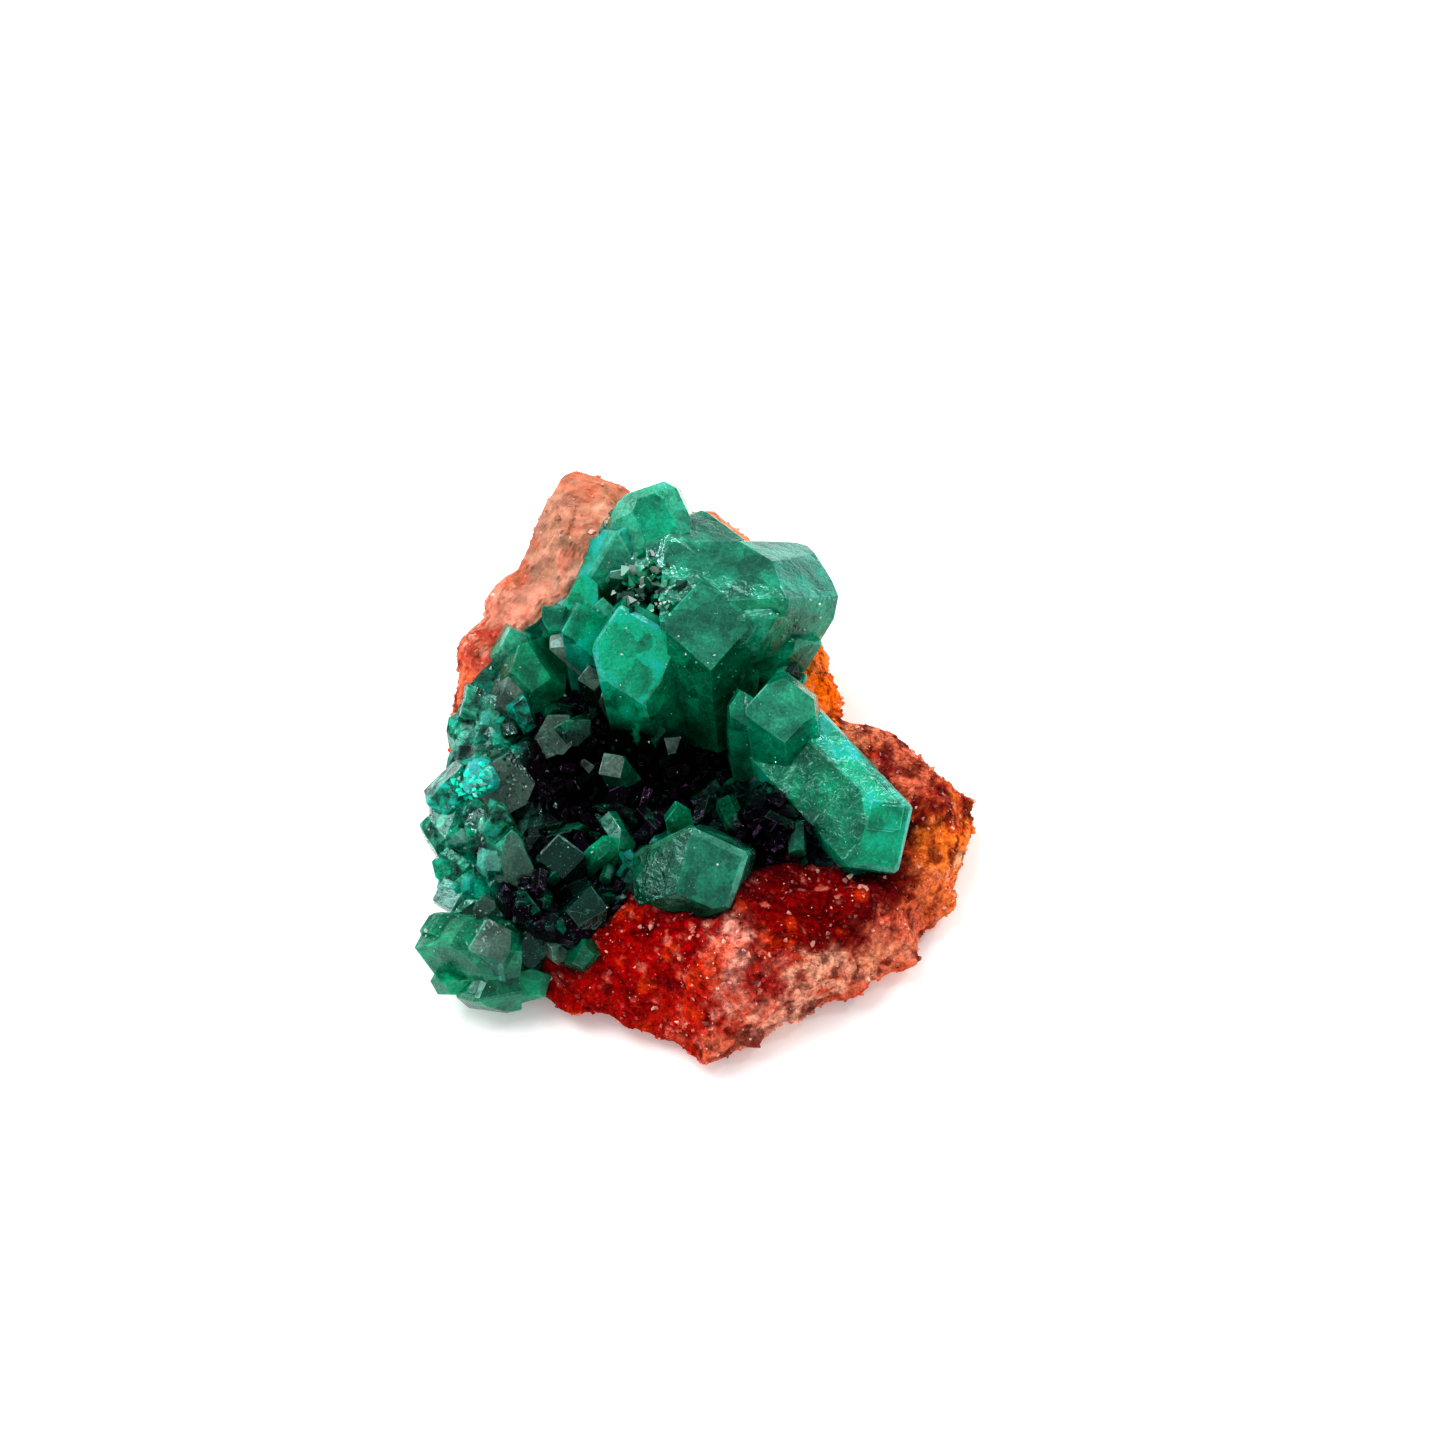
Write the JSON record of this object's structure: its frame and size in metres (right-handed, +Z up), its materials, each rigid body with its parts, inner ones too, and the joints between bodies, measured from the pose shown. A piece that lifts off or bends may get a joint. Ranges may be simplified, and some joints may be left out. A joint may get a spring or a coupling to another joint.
{
  "type": "dioptase crystal specimen on matrix",
  "caption": "Crust of blocky six-sided see-through green crystals with three-faced tips, grown over the leaning face of a rough red rock lump with a flat foot.",
  "frame": {"origin": "middle of the flat foot that the rock rests on", "axes": "+Z up, +X to the right of someone facing the crystals, -Y towards them; the crystal-bearing face leans forward to -Y"},
  "size_m": [0.0421, 0.0452, 0.0183],
  "materials": {
    "rock": "rough",
    "crystal": "polished"
  },
  "bodies": {
    "root": {"matrix": "rock", "dioptase_cluster": "crystal"}
  },
  "joints": []
}
